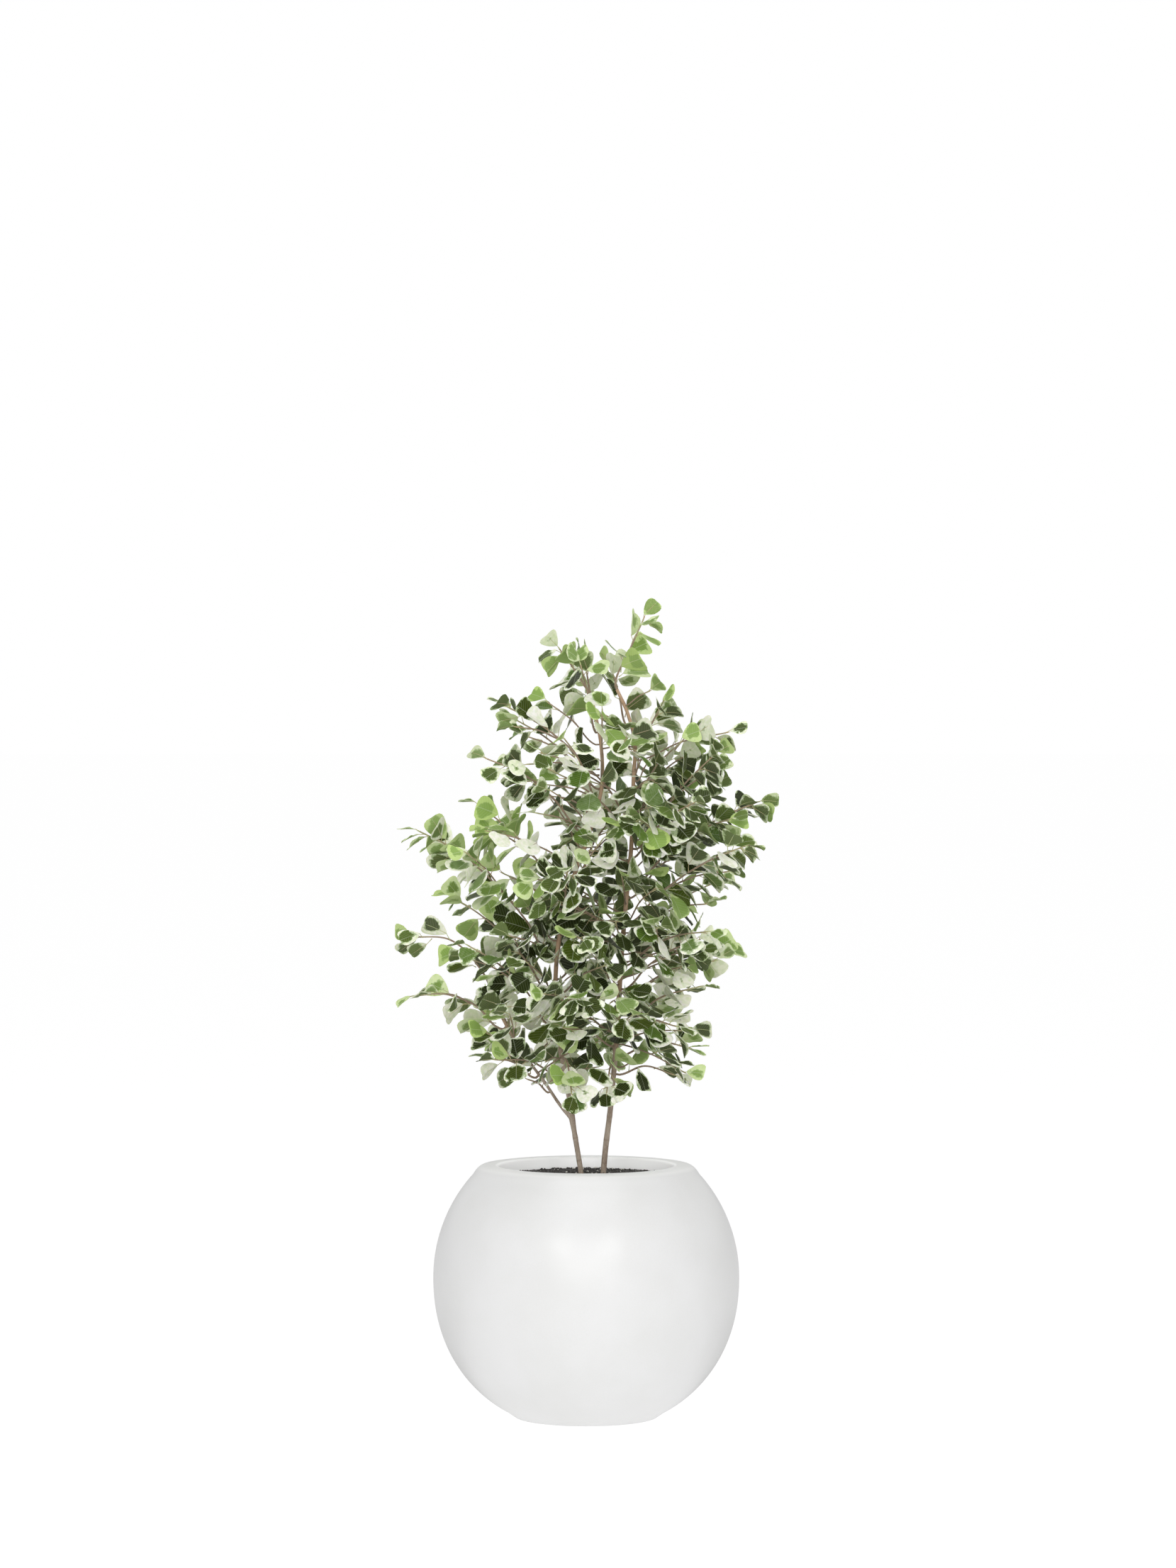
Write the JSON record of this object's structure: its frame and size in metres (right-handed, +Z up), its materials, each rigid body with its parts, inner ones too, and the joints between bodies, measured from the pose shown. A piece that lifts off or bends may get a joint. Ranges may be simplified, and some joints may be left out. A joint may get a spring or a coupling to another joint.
{
  "type": "potted triangle fig",
  "caption": "Variegated triangle fig: woody stems with leafy shoots of small triangular leaves, in soil in a round white pot with a turned-in rim.",
  "frame": {"origin": "middle of the flat base of the pot, on the pot's axis", "axes": "+Z up along the pot's axis, +X to the plant's right seen from the front, -Y towards the viewer"},
  "size_m": [0.6293, 0.5008, 1.3387],
  "materials": {
    "pot": "satin",
    "soil": "matte",
    "bark": "matte",
    "leaf": "satin"
  },
  "bodies": {
    "root": {"pot": "pot", "soil": "soil", "stem_left": "bark", "stem_right": "bark", "leafy_shoot_01": "leaf", "leafy_shoot_02": "leaf", "leafy_shoot_03": "leaf", "leafy_shoot_04": "leaf", "leafy_shoot_05": "leaf", "leafy_shoot_06": "leaf", "leafy_shoot_07": "leaf", "leafy_shoot_08": "leaf", "leafy_shoot_09": "leaf", "leafy_shoot_10": "leaf", "leafy_shoot_11": "leaf", "leafy_shoot_12": "leaf", "leafy_shoot_13": "leaf", "leafy_shoot_14": "leaf", "leafy_shoot_15": "leaf", "leafy_shoot_16": "leaf", "leafy_shoot_17": "leaf", "leafy_shoot_18": "leaf", "leafy_shoot_19": "leaf", "leafy_shoot_20": "leaf", "leafy_shoot_21": "leaf", "leafy_shoot_22": "leaf", "leafy_shoot_23": "leaf", "leafy_shoot_24": "leaf", "leafy_shoot_25": "leaf", "leafy_shoot_26": "leaf", "leafy_shoot_27": "leaf", "leafy_shoot_28": "leaf", "leafy_shoot_29": "leaf", "leafy_shoot_30": "leaf", "leafy_shoot_31": "leaf", "leafy_shoot_32": "leaf", "leafy_shoot_33": "leaf", "leafy_shoot_34": "leaf", "leafy_shoot_35": "leaf", "leafy_shoot_36": "leaf", "leafy_shoot_37": "leaf", "leafy_shoot_38": "leaf", "leafy_shoot_39": "leaf", "leafy_shoot_40": "leaf", "leafy_shoot_41": "leaf", "leafy_shoot_42": "leaf", "leafy_shoot_43": "leaf", "leafy_shoot_44": "leaf", "leafy_shoot_45": "leaf", "leafy_shoot_46": "leaf", "leafy_shoot_47": "leaf", "leafy_shoot_48": "leaf", "leafy_shoot_49": "leaf", "leafy_shoot_50": "leaf", "leafy_shoot_51": "leaf", "leafy_shoot_52": "leaf"}
  },
  "joints": []
}
